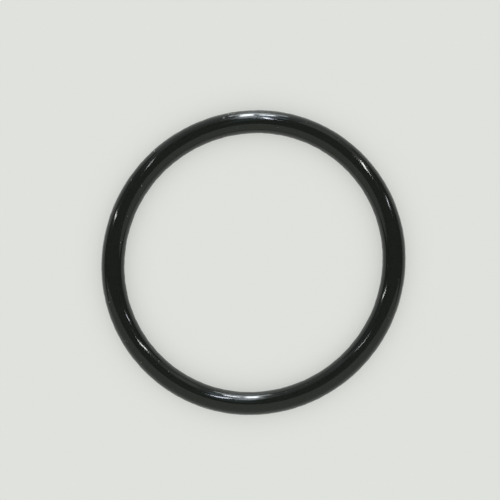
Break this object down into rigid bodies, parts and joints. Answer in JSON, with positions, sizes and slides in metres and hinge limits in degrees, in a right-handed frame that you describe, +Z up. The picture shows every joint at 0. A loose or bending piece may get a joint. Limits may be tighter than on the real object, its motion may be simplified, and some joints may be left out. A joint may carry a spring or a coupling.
{
  "type": "rubber o-ring",
  "caption": "Black rubber o-ring seal with a round section and a fine mould line, lying flat and slightly out of round.",
  "frame": {"origin": "centre of the ring, at the height of its mould line", "axes": "+Z up along the ring's axis as it lies flat, +X along the longer way across the slack ring"},
  "size_m": [0.0474, 0.0462, 0.0034],
  "materials": {
    "black_rubber": "smooth moulded, semi-gloss"
  },
  "bodies": {
    "root": {"o_ring": "black_rubber"}
  },
  "joints": []
}
